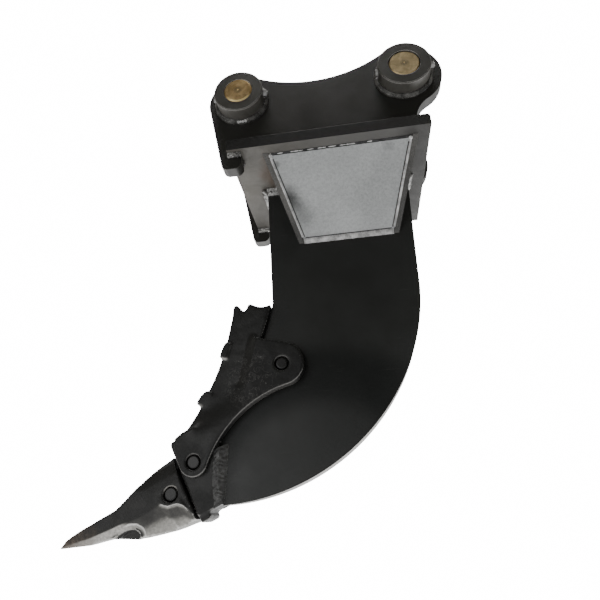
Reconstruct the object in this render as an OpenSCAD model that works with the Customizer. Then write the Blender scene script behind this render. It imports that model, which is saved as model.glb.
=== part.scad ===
// Excavator ripper: a curved shank hangs under a two-ear hitch, with a welded nose adapter,
// a pinned tooth and a pinned shin guard.
// X runs from the front hitch pin to the rear one, Y runs across and Z is up. The tooth points to -X.
// The origin is the middle of the front hitch pin's axis. "Left" is the -Y side.

/* [Hitch pins] */
// Distance between the two hitch pins along X
pin_spacing = 350; // [330:1:380]
// Height of the rear pin's axis above the front pin's axis
rear_pin_rise = 11; // [0:1:20]
// Diameter of the front hitch pin
front_pin_d = 60; // [50:1:65]
// Diameter of the rear hitch pin
rear_pin_d = 65; // [50:1:70]
// How far the front pin's ends stand out of its collars
front_pin_proud = 2; // [0:0.5:4]
// How far the rear pin's ends lie inside its collars
rear_pin_sunk = 1; // [0:0.5:4]
// Chamfer on the pin ends
pin_chamfer = 3; // [1:0.5:5]
// Diameter of the centre mark in the pin ends
center_mark_d = 5; // [3:0.5:8]

/* [Collars] */
// Outside diameter of the front collars
front_collar_d = 104; // [98:1:110]
// Outside diameter of the rear collars
rear_collar_d = 110; // [104:1:118]
// How far the collars stand out from the ears
collar_h = 36; // [28:1:44]
// Chamfer on the outer edge of the collars
collar_chamfer = 2; // [1:0.5:4]
// Diameter of the retaining bolts through collar and pin
bolt_d = 8; // [6:1:10]
// Height of a bolt head
bolt_head_h = 5.5; // [4:0.5:8]
// Height of a lock nut
lock_nut_h = 8; // [6:0.5:10]
// Length of bolt that shows past the nut
bolt_tail = 2; // [1:0.5:4]

/* [Ears] */
// Clear width between the two ears
ear_gap = 290; // [270:1:320]
// Thickness of an ear plate
ear_t = 28; // [22:1:32]
// Radius of the ear around the front pin
front_lobe_r = 72; // [68:1:76]
// Radius of the ear around the rear pin
rear_lobe_r = 80; // [74:1:84]
// Radius of the saddle between the two lobes
saddle_r = 270; // [240:5:320]
// Radius of the neck behind the ear, above the base plate
neck_r = 62; // [55:1:68]
// Lean of the ear's straight front edge
ear_lean = 9.5; // [6:0.5:12]
// How far the toe of the ear reaches below the base plate
toe_drop = 35; // [28:1:42]
// How far the toe reaches back under the base plate
toe_reach = 28; // [22:1:36]
// Rounding of the toe's corners
toe_r = 15; // [8:1:17]

/* [Base plate] */
// Height of the front pin's axis above the base plate
pin_rise = 110; // [100:1:118]
// Thickness of the base plate
base_t = 25; // [18:1:32]
// How far the base plate reaches behind the shank
base_margin = 40; // [32:1:48]
// How far the base plate reaches in front of the front pin's axis
base_front = 32; // [28:1:38]
// How far the base plate stands out beside the ears
base_overhang = 16; // [10:1:20]
// Rounding of the base plate's rear top edge
base_edge_r = 8; // [3:1:12]

/* [Shank] */
// Thickness of the shank
shank_t = 50; // [40:1:60]
// Front edge of the shank behind the front pin's axis
shank_front = 25; // [20:1:32]
// Width of the shank at the base plate
shank_w = 321; // [310:1:330]
// Depth below the base plate at which the rear edge turns into the sweep
heel_drop = 250; // [235:1:265]
// How much the straight rear edge comes in over that depth
heel_taper = 9; // [4:1:14]
// Radius of the swept rear edge
sweep_r = 427; // [421:1:433]
// Depth below the base plate at which the leading edge starts to curve
brow_drop = 283; // [275:1:290]
// Angle of the leading edge at that point
brow_angle = 12; // [10:1:14]
// Radius of the hollow leading edge
lead_r = 450; // [440:5:470]

/* [Gussets] */
// Thickness of the splayed gussets
gusset_t = 11; // [8:1:14]
// Reach of a gusset from the shank's face, at the base plate
gusset_reach = 139; // [125:1:148]
// Reach of a gusset down the shank
gusset_drop = 147; // [135:1:160]
// Outer end of the front gussets, behind the shank's front edge
gusset_front_in = 25; // [20:1:32]
// Outer end of the rear gussets, behind the shank's rear edge
gusset_rear_out = 5; // [0:1:10]
// How far a gusset's inner end lies inside its outer end along X
gusset_splay = 52; // [40:1:60]
// Corner cut off a gusset where the shank's weld passes
gusset_cope = 22; // [18:1:30]
// Thickness of the sloping cover plates
cover_t = 10; // [6:1:14]
// How far a cover lies inside the gussets' edges
cover_recess = 4; // [3:0.5:6]

/* [Tooth] */
// Tooth's rear edge in front of the front pin's axis
nose_forward = 156; // [152:1:160]
// Tooth's rear edge below the base plate, at the middle of the tooth
nose_drop = 641; // [637:1:645]
// Downward pitch of the tooth
tooth_pitch = 24; // [22:0.5:26]
// Length of the tooth
tooth_l = 264; // [245:1:280]
// Height of the tooth at its rear edge
tooth_root_h = 127; // [120:1:134]
// Wall of the tooth beside the nose
tooth_wall = 13; // [10:0.5:16]
// Width of the tooth's cutting edge
tip_w = 46; // [36:1:56]
// Height of the tooth's blade
blade_h = 41; // [36:1:46]
// Radius of the scallops under the blade
scallop_r = 22; // [16:1:26]
// Thickness of the rib left between the scallops
scallop_web = 26; // [18:1:34]
// Distance of the tooth pin from the tooth's rear edge
tooth_pin_in = 26.5; // [24:0.5:30]

/* [Nose adapter] */
// Thickness of the adapter's cheeks beside the shank
cheek_t = 12; // [9:1:15]
// Depth of solid metal between the shank's end and the tooth
nose_solid = 52; // [51:1:58]
// Height of the nose at its root
nose_root_h = 94; // [86:1:98]
// Width of the nose at its root
nose_root_w = 64; // [58:1:70]
// Length of the nose inside the tooth
nose_l = 100; // [90:1:104]
// Height of the adapter above the tooth's rear edge
adapter_rise = 26; // [22:1:28]
// Length of the adapter's flat top
adapter_crest = 40; // [36:1:44]
// Length of the slope behind the flat top
adapter_slope = 40; // [34:1:46]
// Reach of the cheeks behind the shank's cut end, at their top
cheek_reach = 38; // [34:1:42]
// Reach of the cheeks behind the shank's cut end, at the middle
cheek_middle = 12; // [9:1:16]
// Length of the small lug under the adapter
foot_lug_l = 22; // [16:1:26]
// Width of the small lug under the adapter
foot_lug_w = 66; // [50:1:70]
// How far the small lug stands out below the adapter
foot_lug_drop = 12; // [9:1:14]
// Gap between the adapter's shoulder and the tooth
shoulder_gap = 3.5; // [1:0.5:5]

/* [Shin guard] */
// Thickness of the guard in front of the shank, at its top
guard_depth = 88; // [83:1:92]
// Height of the guard's front edge below the brow of the shank
guard_top = 24; // [20:1:30]
// Radius of the guard's hollow front edge
guard_front_r = 500; // [480:10:540]
// Width of the guard over its cheeks
guard_w = 100; // [96:1:106]
// Width of the guard's body above the cheeks
guard_body_w = 80; // [74:1:86]
// Width of the guard's front edge
guard_edge_w = 64; // [52:1:68]
// Radius of the cheek around the upper guard pin
upper_lobe_r = 45; // [40:1:48]
// Radius of the cheek around the lower guard pin
lower_lobe_r = 28; // [25:1:30]
// Radius of the hollow edge between the two lobes
cheek_r = 230; // [210:5:260]
// How far the upper lug stands out of the guard's front edge
upper_lug = 6; // [4:1:9]
// How far the lower lug stands out of the guard's front edge
lower_lug = 11; // [7:1:13]
// Width of the lugs on the guard's front edge
lug_w = 72; // [66:1:76]
// Depth of the upper guard pin behind the leading edge
upper_pin_depth = 62; // [60:1:66]
// Distance of the lower guard pin behind the tooth's rear edge
lower_pin_back = 36; // [34:1:37]
// Distance of the guard's lower end behind the tooth's rear edge
guard_foot = 35; // [32:1:38]

/* [Lock pins] */
// Diameter of the guard and tooth pins
lock_pin_d = 24; // [20:1:26]
// Diameter of the holes that show the guard and tooth pins
lock_hole_d = 28; // [27:0.5:30]
// How far the guard and tooth pins lie inside their holes
lock_pin_sunk = 3; // [1:0.5:5]
// Outside diameter of the split retainer rings
ring_d = 36; // [33:1:38]
// Thickness of the retainer rings
ring_t = 7; // [5:0.5:9]
// Depth of the groove that a retainer ring snaps into
ring_groove = 2; // [1:0.5:3]
// Opening in a retainer ring
ring_slit = 9; // [6:0.5:12]

/* [Welds] */
// Leg of the welds around the collars and along the ears
weld_leg = 8; // [5:0.5:10]
// Leg of the weld around the top of the shank
shank_weld_leg = 14; // [10:1:16]
// Width of the beads along the gusset covers
seam_w = 7; // [4:0.5:9]
// Width of the bead along the head of the gusset covers
head_seam_w = 3.5; // [2.5:0.5:6]
// Width of the weld behind the nose adapter
adapter_weld_w = 17; // [10:1:22]
// Height of the weld behind the nose adapter
adapter_weld_h = 8; // [4:0.5:10]

/* [Fits] */
// Clearance around the hitch pins, on the radius
pin_fit = 0.3; // [0.2:0.05:0.6]
// Clearance around bolts, lock pins and retainer rings, on the radius
lock_fit = 0.25; // [0.2:0.05:0.5]
// Clearance of the tooth on its nose and of the guard on the shank
seat_fit = 0.6; // [0.3:0.1:0.9]

/* [Hidden] */
$fn = 96;
far = 1000;
// Small overlap that lets touching arcs cross cleanly
lap = 0.3;

black_paint = [0.11, 0.12, 0.11];
cast_black = [0.16, 0.16, 0.16];
bare_plate = [0.45, 0.45, 0.43];
turned_steel = [0.56, 0.47, 0.32];
zinc = [0.6, 0.6, 0.58];
weld_metal = [0.5, 0.5, 0.48];

// Levels and places of the hitch
ear_inner = ear_gap / 2;
ear_outer = ear_inner + ear_t;
base_w = 2 * (ear_outer + base_overhang);
base_top = -pin_rise;
base_bottom = base_top - base_t;
shank_rear = shank_front + shank_w;
base_rear = shank_rear + base_margin;
base_l = base_rear + base_front;
front_axis = [0, 0];
rear_axis = [pin_spacing, rear_pin_rise];
toe_z = base_bottom - toe_drop;
toe_back = toe_reach - base_front;

// Retaining bolts sit in flats on the collars
hex_af = 1.625 * bolt_d;
flat_d = hex_af * 1.4;
flat_sunk = 0.7;
bolt_y = -(ear_outer + collar_h / 2);

// Places on the shank
sweep_c = [shank_rear - heel_taper - sweep_r, base_bottom - heel_drop];
brow_z = base_bottom - brow_drop;
lead_c = [shank_front - lead_r * cos(brow_angle), brow_z + lead_r * sin(brow_angle)];

// Gusset slope
slope_l = norm([gusset_reach, gusset_drop]);
gusset_start = shank_front + gusset_front_in;
gusset_end = shank_rear + gusset_rear_out;
gusset_wide = gusset_end - gusset_start;

// Tooth frame: u runs forward along the tooth, v runs up across it
nose_x = -nose_forward;
nose_z = base_bottom - nose_drop;
tooth_w = nose_root_w + 2 * (seat_fit + tooth_wall);
adapter_w = shank_t + 2 * cheek_t;
adapter_top = tooth_root_h / 2 + adapter_rise;
adapter_bottom = -tooth_root_h * 0.476;

// Rear edge of the adapter's cheeks in the tooth frame, and width of its weld at each point
rear_edge = [
    [-nose_solid - cheek_reach, tooth_root_h * 0.28], [-nose_solid - cheek_middle, -tooth_root_h * 0.13],
    [-nose_solid * 1.03, -tooth_root_h * 0.38], [-nose_solid * 0.93, adapter_bottom]
];
weld_width = [1, 0.95, 0.5, 0.35] * adapter_weld_w;

nose_tip_h = nose_root_h * 0.36;
nose_tip_w = nose_root_w * 0.56;
nose_tip_v = -nose_root_h * 0.05;
tooth_axis = at_uv(tooth_pin_in, 0);
tooth_ring_side = nose_side(tooth_pin_in + ring_d / 2);
lower_pin = [-lower_pin_back, tooth_root_h / 4];

// Guard places along the leading edge, by angle and depth behind that edge
upper_axis = lead_at(26.8, upper_pin_depth);
lower_axis = at_uv(lower_pin[0], lower_pin[1]);
cheek_corner = lead_at(23.1, -guard_depth * 0.2);
cheek_waist = lead_at(39.3, guard_depth * 0.29);
guard_corner = [shank_front - guard_depth, brow_z - guard_top];
guard_end = at_uv(-guard_foot, adapter_top + guard_foot / 7);
front_c = arc_center(guard_end, guard_corner, guard_front_r);

// Bumpy top of the guard's body, from its front corner, as shares of the guard's depth
crown_dip = 0.06;
crown = [
    [-0.05, 0], [0.04, 0.24], [0.06, 0.29], [0.11, 0.31], [0.16, 0.295], [0.24, 0.205], [0.3, 0.11],
    [0.35, 0.155], [0.385, 0.215], [0.42, 0.29], [0.48, 0.295], [0.53, 0.265], [0.66, 0.2], [0.82, 0.18]
];

// Place of each lug on the front edge as an angle, with its height, and half its length as an angle
lugs = [[16.8, upper_lug], [28.9, lower_lug]];
lug_turn = 1.9;
edge_taper = (guard_body_w - guard_edge_w) / 2 / (guard_depth * 0.8);

// Point at u, v of the tooth frame
function at_uv(u, v) = [
    nose_x - u * cos(tooth_pitch) - v * sin(tooth_pitch),
    nose_z - u * sin(tooth_pitch) + v * cos(tooth_pitch)
];

// Half width of the tapering nose at a distance in front of the tooth's rear edge
function nose_side(u) =
    let (taper = (nose_root_w - nose_tip_w) / (nose_l + nose_solid / 2))
    (nose_root_w - taper * (u + nose_solid / 2)) / 2;

// Point on the leading edge at an angle below the arc's centre, or behind it
function lead_at(angle, behind) = lead_c + (lead_r + behind) * [cos(angle), -sin(angle)];

// Centre of a circle of radius r that touches two circles from outside, left of the way from 1 to 2
function touch_center(c1, r1, c2, r2, r) =
    let (
        d1 = r1 + r,
        d2 = r2 + r,
        gap = norm(c2 - c1),
        dir = (c2 - c1) / gap,
        along = (d1 * d1 - d2 * d2 + gap * gap) / (2 * gap),
        off = sqrt(d1 * d1 - along * along)
    )
    c1 + along * dir + off * [-dir[1], dir[0]];

// Centre of an arc of radius r from p to q, left of the way from p to q
function arc_center(p, q, r) =
    let (chord = q - p, half = norm(chord) / 2, dir = chord / norm(chord))
    (p + q) / 2 + sqrt(r * r - half * half) * [-dir[1], dir[0]];

// Point where a line from p touches a circle, on the right as seen from p
function tangent_point(p, c, r) =
    let (d = p - c, turn = atan2(d[1], d[0]) - acos(r / norm(d)))
    c + r * [cos(turn), sin(turn)];

function unit(v) = v / norm(v);

// Sliver between a sharp corner at p, with edges towards a and b, and a round of radius r
module corner_sliver(p, a, b, r) {
    to_a = unit(a - p);
    to_b = unit(b - p);
    half = acos(to_a * to_b) / 2;
    mid = unit(to_a + to_b);
    center = p + mid * r / sin(half);
    difference() {
        polygon([p - mid, p + to_a * r / tan(half), center, p + to_b * r / tan(half)]);
        translate(center) circle(r + lap);
    }
}

// Side outline in X and Z, made as wide as given across the middle plane
module across(width) {
    rotate([90, 0, 0]) linear_extrude(width, center = true) children();
}

// Side outline in X and Z, as a slab from inner to outer distance on one side
module beside(side, inner, outer) {
    translate([0, side * (inner + outer) / 2, 0]) across(outer - inner) children();
}

// Section in Y and Z, drawn along X
module along_x(start, end) {
    translate([start, 0, 0]) rotate([90, 0, 90]) linear_extrude(end - start) children();
}

// Places children on a Y axis at a point of the side view
module on_axis(axis) {
    translate([axis[0], 0, axis[1]]) rotate([90, 0, 0]) children();
}

// Places children drawn in u, v and the width
module tooth_frame() {
    translate([nose_x, 0, nose_z]) rotate([0, -tooth_pitch, 0]) rotate([90, 0, 180]) children();
}

module on_side(side) {
    if (side < 0) children();
    else mirror([0, 1, 0]) children();
}

// Base plate and ears

module base_outline() {
    corner = [base_rear, base_top];
    difference() {
        translate([-base_front, base_bottom]) square([base_l, base_t]);
        corner_sliver(corner, corner - [base_l, 0], corner - [0, base_t], base_edge_r);
    }
}

module base_plate() {
    color(bare_plate) across(base_w) base_outline();
}

module ear_outline() {
    saddle_c = touch_center(front_axis, front_lobe_r, rear_axis, rear_lobe_r, saddle_r);
    neck_up = rear_axis[1] - base_top;
    neck_c = [rear_axis[0] + sqrt(pow(rear_lobe_r + neck_r, 2) - neck_up * neck_up), base_top];
    front_touch = -(front_lobe_r - lap) * [cos(ear_lean), sin(ear_lean)];
    toe_front = [front_touch[0] + (front_touch[1] - toe_z) * tan(ear_lean), toe_z];
    toe_heel = [toe_back, toe_z];
    toe_top = [toe_back, base_bottom];
    difference() {
        union() {
            circle(front_lobe_r);
            translate(rear_axis) circle(rear_lobe_r);
            polygon([
                front_touch, toe_front, toe_heel, toe_top, [-base_front, base_bottom],
                [-base_front, base_top], neck_c, rear_axis, saddle_c, front_axis
            ]);
        }
        translate(saddle_c) circle(saddle_r + lap);
        translate(neck_c) circle(neck_r + lap);
        circle(front_pin_d / 2 + pin_fit);
        translate(rear_axis) circle(rear_pin_d / 2 + pin_fit);
        corner_sliver(toe_front, front_touch, toe_heel, toe_r);
        corner_sliver(toe_heel, toe_front, toe_top, toe_r);
    }
}

module ear(side) {
    color(black_paint) beside(side, ear_inner, ear_outer) ear_outline();
}

// Collars, hitch pins and their retaining bolts

module bolt_hole() {
    translate([0, 0, collar_h / 2]) rotate([0, 90, 0])
        cylinder(d = bolt_d + 2 * lock_fit, h = far, center = true);
}

// Distance from the pin's axis to the flat under a bolt head or nut
function flat_at(collar_d) = sqrt(pow(collar_d / 2, 2) - pow(flat_d / 2, 2)) - flat_sunk;

// Bolt hole with a spot face at both ends
module bolt_cut(collar_d) {
    flat = flat_at(collar_d);
    hole = bolt_d / 2 + lock_fit;
    translate([0, 0, collar_h / 2]) rotate([0, 90, 0]) rotate_extrude() polygon([
        [0, -collar_d], [flat_d / 2, -collar_d], [flat_d / 2, -flat], [hole, -flat],
        [hole, flat], [flat_d / 2, flat], [flat_d / 2, collar_d], [0, collar_d]
    ]);
}

module collar(side, axis, pin_d, collar_d) {
    bore_r = pin_d / 2 + pin_fit;
    outer_r = collar_d / 2;
    color(black_paint) on_side(side)
        translate([axis[0], -ear_outer, axis[1]]) rotate([90, 0, 0])
            difference() {
                rotate_extrude() polygon([
                    [bore_r, 0], [outer_r, 0], [outer_r, collar_h - collar_chamfer],
                    [outer_r - collar_chamfer, collar_h], [bore_r, collar_h]
                ]);
                if (side < 0) bolt_cut(collar_d);
            }
}

module hitch_pin(axis, pin_d, proud) {
    end = ear_outer + collar_h + proud;
    r = pin_d / 2;
    mark = center_mark_d / 2;
    color(turned_steel) on_axis(axis)
        difference() {
            rotate_extrude() polygon([
                [0, mark - end], [mark, -end], [r - pin_chamfer, -end], [r, pin_chamfer - end],
                [r, end - pin_chamfer], [r - pin_chamfer, end], [mark, end], [0, end - mark]
            ]);
            translate([0, 0, ear_outer]) bolt_hole();
        }
}

module retaining_bolt(axis, collar_d) {
    seat = flat_at(collar_d);
    color(zinc) translate([axis[0] - seat, bolt_y, axis[1]]) rotate([0, 90, 0])
        union() {
            cylinder(d = bolt_d, h = 2 * seat + lock_nut_h + bolt_tail);
            translate([0, 0, -bolt_head_h]) cylinder(d = hex_af / cos(30), h = bolt_head_h, $fn = 6);
        }
}

module lock_nut(axis, collar_d) {
    color(zinc) translate([axis[0] + flat_at(collar_d), bolt_y, axis[1]]) rotate([0, 90, 0])
        difference() {
            cylinder(d = hex_af / cos(30), h = lock_nut_h, $fn = 6);
            translate([0, 0, -1]) cylinder(d = bolt_d + 2 * lock_fit, h = lock_nut_h + 2);
        }
}

// Shank, with the leading edge and the cut end moved out by a gap

module shank_outline(gap = 0) {
    front = shank_front - gap;
    heel_x = shank_rear - heel_taper;
    end_u = -nose_solid + gap;
    bottom = sweep_c[1] - sweep_r;
    difference() {
        polygon([
            [front, base_bottom], [shank_rear, base_bottom], [heel_x, sweep_c[1]],
            [heel_x, bottom], [lead_c[0], bottom], [lead_c[0], sweep_c[1]], [front, sweep_c[1]]
        ]);
        difference() {
            translate([sweep_c[0] - far, bottom - far]) square([2 * far, sweep_r + far]);
            translate(sweep_c) circle(sweep_r, $fn = 360);
        }
        intersection() {
            translate(lead_c) circle(lead_r - gap, $fn = 360);
            translate([front - far, brow_z - far]) square([far, 2 * far]);
        }
        polygon([at_uv(end_u, -far), at_uv(end_u, far), at_uv(far, far), at_uv(far, -far)]);
    }
}

module shank_blank() {
    across(shank_t) shank_outline();
}

module shank() {
    color(black_paint) difference() {
        shank_blank();
        pin_bore(upper_axis, shank_t / 2);
    }
}

// Lock pins: a bore with a seat for the retainer ring on the right side

module pin_bore(axis, half_width) {
    on_axis(axis) {
        cylinder(d = lock_pin_d + 2 * lock_fit, h = far, center = true);
        translate([0, 0, -far - ring_place(half_width)]) cylinder(d = ring_d + 2 * lock_fit, h = far);
    }
}

// Distance of the ring seat from the middle plane
function ring_place(half_width) = half_width - ring_t - 2 * lock_fit;

module lock_pin(axis, half_length, half_width) {
    groove = ring_t + 2 * lock_fit;
    color(cast_black) on_axis(axis)
        difference() {
            cylinder(d = lock_pin_d, h = 2 * half_length, center = true);
            translate([0, 0, -ring_place(half_width) - groove]) difference() {
                cylinder(d = lock_pin_d + 2, h = groove);
                cylinder(d = lock_pin_d - 2 * ring_groove, h = groove);
            }
        }
}

module pin_ring(axis, half_width) {
    color(zinc) on_axis(axis)
        translate([0, 0, -ring_place(half_width) - ring_t - lock_fit])
            difference() {
                cylinder(d = ring_d, h = ring_t);
                translate([0, 0, -1])
                    cylinder(d = lock_pin_d - 2 * ring_groove + 2 * lock_fit, h = ring_t + 2);
                translate([0, -ring_slit / 2, -1]) cube([ring_d, ring_slit, ring_t + 2]);
            }
}

// Gussets and their covers, drawn for the left side

module gusset_plan(x_outer, x_inner, thick) {
    face = -shank_t / 2;
    polygon([
        [x_inner, face], [x_outer, face - gusset_reach],
        [x_outer + thick, face - gusset_reach], [x_inner + thick, face]
    ]);
}

module gusset_slope() {
    face = -shank_t / 2;
    polygon([
        [face - gusset_cope, base_bottom], [face - gusset_reach, base_bottom],
        [face, base_bottom - gusset_drop], [face, base_bottom - gusset_cope]
    ]);
}

module gusset_slab(end, thick) {
    outer = end < 0 ? gusset_start : gusset_end;
    inner = outer - end * gusset_splay;
    translate([0, 0, base_bottom - gusset_drop]) linear_extrude(gusset_drop)
        gusset_plan(outer, inner, end * thick);
}

module gusset(end, side) {
    color(bare_plate) on_side(side) intersection() {
        gusset_slab(end, gusset_t);
        along_x(-far, far) gusset_slope();
    }
}

// Slope frame: x along X, y up the slope, z out of it
module slope_frame() {
    translate([0, -shank_t / 2, base_bottom - gusset_drop])
        rotate([atan2(gusset_drop, -gusset_reach), 0, 0]) children();
}

module gusset_cover(side) {
    color(bare_plate) on_side(side) difference() {
        slope_frame() translate([gusset_start, -slope_l / 2, -cover_recess - cover_t])
            cube([gusset_wide, 2 * slope_l, cover_t]);
        translate([-far / 2, -shank_t / 2, base_bottom - far / 2]) cube([far, far, far]);
        translate([-far / 2, -far / 2, base_bottom]) cube([far, far, far]);
        for (end = [-1, 1]) gusset_slab(end, gusset_wide / 3);
    }
}

// Nose adapter: cheeks beside the shank, a shoulder, a bottom lug and a tapered nose

module adapter_outline(gap = 0) {
    front = gap - shoulder_gap;
    top = adapter_top + gap;
    difference() {
        polygon(concat(
            [at_uv(front, adapter_bottom), at_uv(front, top), at_uv(-adapter_crest, top)],
            [at_uv(-adapter_crest - adapter_slope, top - adapter_slope / 5)],
            [at_uv(rear_edge[0][0] - cheek_reach / 7 - gap, top - adapter_rise * 1.3)],
            [for (point = rear_edge) at_uv(point[0] - gap, point[1])]
        ));
        corner_sliver(at_uv(front, top), at_uv(front, 0), at_uv(-adapter_crest, top), adapter_crest / 5);
    }
}

module foot_lug_outline() {
    front = -shoulder_gap - lap;
    rear = front - foot_lug_l;
    low = adapter_bottom - foot_lug_drop;
    high = adapter_bottom + foot_lug_drop;
    difference() {
        polygon([at_uv(front, low), at_uv(front, high), at_uv(rear, high), at_uv(rear, low)]);
        corner_sliver(at_uv(rear, low), at_uv(rear, high), at_uv(front, low), foot_lug_l / 3);
    }
}

module nose_block(gap, start, length) {
    hull() {
        translate([start - 0.5, 0, 0])
            cube([1, nose_root_h + 2 * gap, nose_root_w + 2 * gap], center = true);
        translate([length - 0.5, nose_tip_v, 0])
            cube([1, nose_tip_h + 2 * gap, nose_tip_w + 2 * gap], center = true);
    }
}

module nose_adapter() {
    color(cast_black) difference() {
        union() {
            across(adapter_w) adapter_outline();
            across(foot_lug_w) foot_lug_outline();
            tooth_frame() nose_block(0, -nose_solid / 2, nose_l);
        }
        shank_blank();
        pin_bore(lower_axis, adapter_w / 2);
        pin_bore(tooth_axis, tooth_ring_side);
    }
}

// Tooth: side, plan and end outlines meet in one tapered wedge with a socket

module tooth_side() {
    root = tooth_root_h / 2;
    neck = tooth_l * 0.47;
    polygon([
        [0, root], [tooth_l * 0.14, root * 0.89], [tooth_l * 0.31, root * 0.68],
        [tooth_l * 0.42, blade_h * 0.825], [tooth_l * 0.52, blade_h * 0.655],
        [tooth_l * 0.84, blade_h * 0.62], [tooth_l * 0.94, blade_h * 0.53], [tooth_l, blade_h * 0.34],
        [tooth_l * 0.83, -blade_h * 0.08], [tooth_l * 0.64, -blade_h * 0.37],
        [neck, -root * 0.62], [tooth_l * 0.2, -root * 0.92], [0, -root]
    ]);
}

module tooth_plan() {
    root = tooth_w / 2;
    tip = tip_w / 2;
    polygon([
        [0, root], [tooth_l * 0.22, root], [tooth_l * 0.55, (root + 2 * tip) / 3], [tooth_l, tip],
        [tooth_l, -tip], [tooth_l * 0.55, -(root + 2 * tip) / 3], [tooth_l * 0.22, -root], [0, -root]
    ]);
}

module tooth_end() {
    side = tooth_w / 2;
    root = tooth_root_h / 2;
    brow = side - tooth_wall * 0.54;
    flank = [
        [brow, root], [side, root * 0.085], [side, -root * 0.2], [side * 0.94, -root * 0.48],
        [side * 0.78, -root * 0.8], [side * 0.52, -root]
    ];
    last = len(flank) - 1;
    polygon(concat(flank, [for (i = [last:-1:0]) [-flank[i][0], flank[i][1]]]));
}

module tooth() {
    scallop_at = [tooth_l * 0.53, -tooth_root_h * 0.315];
    color(cast_black) tooth_frame() difference() {
        intersection() {
            linear_extrude(2 * tooth_w, center = true) tooth_side();
            rotate([-90, 0, 0]) linear_extrude(2 * tooth_root_h, center = true) tooth_plan();
            rotate([90, 0, 90]) linear_extrude(tooth_l) rotate(90) mirror([1, 0]) tooth_end();
        }
        nose_block(seat_fit, -nose_solid / 2, nose_l + seat_fit);
        translate([tooth_pin_in, 0, 0]) cylinder(d = lock_hole_d, h = far, center = true);
        for (side = [0, 1]) mirror([0, 0, side])
            translate([scallop_at[0], scallop_at[1], scallop_web / 2]) cylinder(r = scallop_r, h = tooth_w);
    }
}

// Shin guard: a tapered body in front of the shank and two cheeks beside it

module guard_body_outline() {
    difference() {
        union() {
            intersection() {
                polygon(concat(
                    [guard_end, lead_at(50, -guard_depth / 2) - [far / 4, 0], [-far / 4, guard_corner[1]]],
                    [for (step = crown) guard_corner + step * guard_depth],
                    [[shank_front, brow_z - crown_dip * guard_depth], [shank_front, guard_end[1]]]
                ));
                translate(lead_c) circle(lead_r - seat_fit, $fn = 360);
            }
            polygon([cheek_corner, upper_axis, cheek_waist, lower_axis, guard_end]);
        }
        translate(front_c) circle(guard_front_r, $fn = 360);
    }
}

module cheek_outline() {
    hollow_c = touch_center(upper_axis, upper_lobe_r, lower_axis, lower_lobe_r, cheek_r);
    lobe_front = lower_pin[0] + lower_lobe_r - lap;
    difference() {
        union() {
            translate(upper_axis) circle(upper_lobe_r);
            translate(lower_axis) circle(lower_lobe_r);
            polygon([
                cheek_corner, tangent_point(cheek_corner, upper_axis, upper_lobe_r - lap), upper_axis,
                hollow_c, lower_axis, at_uv(lobe_front, lower_pin[1]),
                at_uv(lobe_front, lower_pin[1] + lower_lobe_r),
                at_uv(lobe_front - lower_lobe_r * 0.4, adapter_top), guard_end, cheek_waist
            ]);
        }
        translate(hollow_c) circle(cheek_r + lap);
    }
}

// Cones around the front edge's centre that narrow the body towards its front edge
module edge_cones() {
    depth = guard_body_w / 2;
    for (side = [-1, 1])
        on_side(side) translate([front_c[0], -guard_edge_w / 2, front_c[1]]) rotate([90, 0, 0])
            cylinder(r1 = guard_front_r, r2 = guard_front_r + depth / edge_taper, h = depth, $fn = 360);
}

// Point beside the guard's front edge, at an angle and a distance out of it
function front_at(angle, out) = front_c + (guard_front_r - out) * [cos(angle), -sin(angle)];

module front_lugs() {
    for (lug = lugs)
        across(lug_w) polygon([
            front_at(lug[0] - lug_turn, -lower_lug), front_at(lug[0] - lug_turn, lug[1] * 0.4),
            front_at(lug[0] - lug_turn * 0.3, lug[1] * 0.85), front_at(lug[0] + lug_turn * 0.6, lug[1]),
            front_at(lug[0] + lug_turn, lug[1] * 0.75), front_at(lug[0] + lug_turn, -lower_lug)
        ]);
}

module shin_guard() {
    color(cast_black) difference() {
        union() {
            difference() {
                across(guard_body_w) guard_body_outline();
                edge_cones();
            }
            across(guard_w) cheek_outline();
            front_lugs();
        }
        across(shank_t + 2 * seat_fit) shank_outline(seat_fit);
        across(adapter_w + 2 * seat_fit) adapter_outline(seat_fit);
        on_axis(upper_axis) cylinder(d = lock_hole_d, h = far, center = true);
        on_axis(lower_axis) cylinder(d = lock_hole_d, h = far, center = true);
    }
}

// Weld metal

module collar_weld(side, axis, collar_d) {
    on_side(side) translate([axis[0], -ear_outer, axis[1]]) rotate([90, 0, 0])
        rotate_extrude() translate([collar_d / 2, 0]) polygon([[0, 0], [weld_leg, 0], [0, weld_leg]]);
}

module collar_welds() {
    color(weld_metal) for (side = [-1, 1]) {
        collar_weld(side, front_axis, front_collar_d);
        collar_weld(side, rear_axis, rear_collar_d);
    }
}

// Corner fillet in Y and Z at a point, with legs towards out and up
module fillet_section(at, out, up) {
    polygon([at, at + [out, 0], at + [0, up]]);
}

module ear_welds() {
    neck_x = rear_axis[0];
    color(weld_metal) for (side = [-1, 1]) on_side(side) {
        along_x(-base_front, neck_x) fillet_section([-ear_outer, base_top], -weld_leg, weld_leg);
        along_x(-base_front, neck_x) fillet_section([-ear_inner, base_top], weld_leg, weld_leg);
        along_x(-base_front, toe_back) fillet_section([-ear_outer, base_bottom], -weld_leg, -weld_leg);
        along_x(-base_front, toe_back) fillet_section([-ear_inner, base_bottom], weld_leg, -weld_leg);
    }
}

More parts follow.
